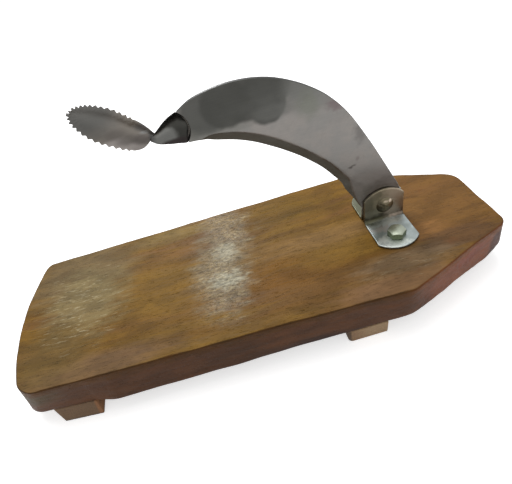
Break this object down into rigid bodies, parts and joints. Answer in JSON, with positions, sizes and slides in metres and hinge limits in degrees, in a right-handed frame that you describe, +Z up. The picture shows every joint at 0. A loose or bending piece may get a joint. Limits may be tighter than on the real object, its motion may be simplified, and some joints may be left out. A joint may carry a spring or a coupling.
{
  "type": "folding coconut grater",
  "caption": "Wooden board on cross battens with a folding crescent steel arm on a riveted bracket hinge, ending in a cupped scraper head with a serrated rim.",
  "frame": {"origin": "middle of the battens' undersides level, under the middle of the board", "axes": "+X along the board towards its tapered nose, +Z up, +Y across the board to the side away from the hinge's near bracket; the arm turns about +Y and is stored folded over the seat"},
  "size_m": [0.3894, 0.148, 0.1986],
  "materials": {
    "varnished_wood": "varnished, worn and streaky",
    "raw_wood": "sawn, raw ends",
    "arm_steel": "sheet steel, partly tarnished",
    "galvanised_steel": "galvanised, smudged",
    "yellow_zinc": "pale passivated zinc",
    "rivet_steel": "bright, hammered",
    "screw_steel": "zinc plated"
  },
  "bodies": {
    "base": {"board": "varnished_wood", "batten_seat": "raw_wood", "batten_nose": "raw_wood", "batten_screw_1": "screw_steel", "batten_screw_2": "screw_steel", "batten_screw_3": "screw_steel", "batten_screw_4": "screw_steel", "batten_screw_5": "screw_steel", "batten_screw_6": "screw_steel", "bracket_near": "galvanised_steel", "bracket_far": "galvanised_steel", "bolt_near": "yellow_zinc", "bolt_far": "yellow_zinc", "washer_near": "yellow_zinc", "washer_far": "yellow_zinc", "nut_near": "yellow_zinc", "nut_far": "yellow_zinc", "pivot_rivet": "rivet_steel"},
    "arm": {"arm": "arm_steel", "scraper_head": "arm_steel", "weld_bead": "arm_steel"}
  },
  "joints": [
    {"name": "arm_fold", "type": "hinge", "parent": "base", "child": "arm", "pos_m": [0.1148, 0.0045, 0.0605], "axis": [0, 1, 0], "range_deg": [0, 105]}
  ]
}
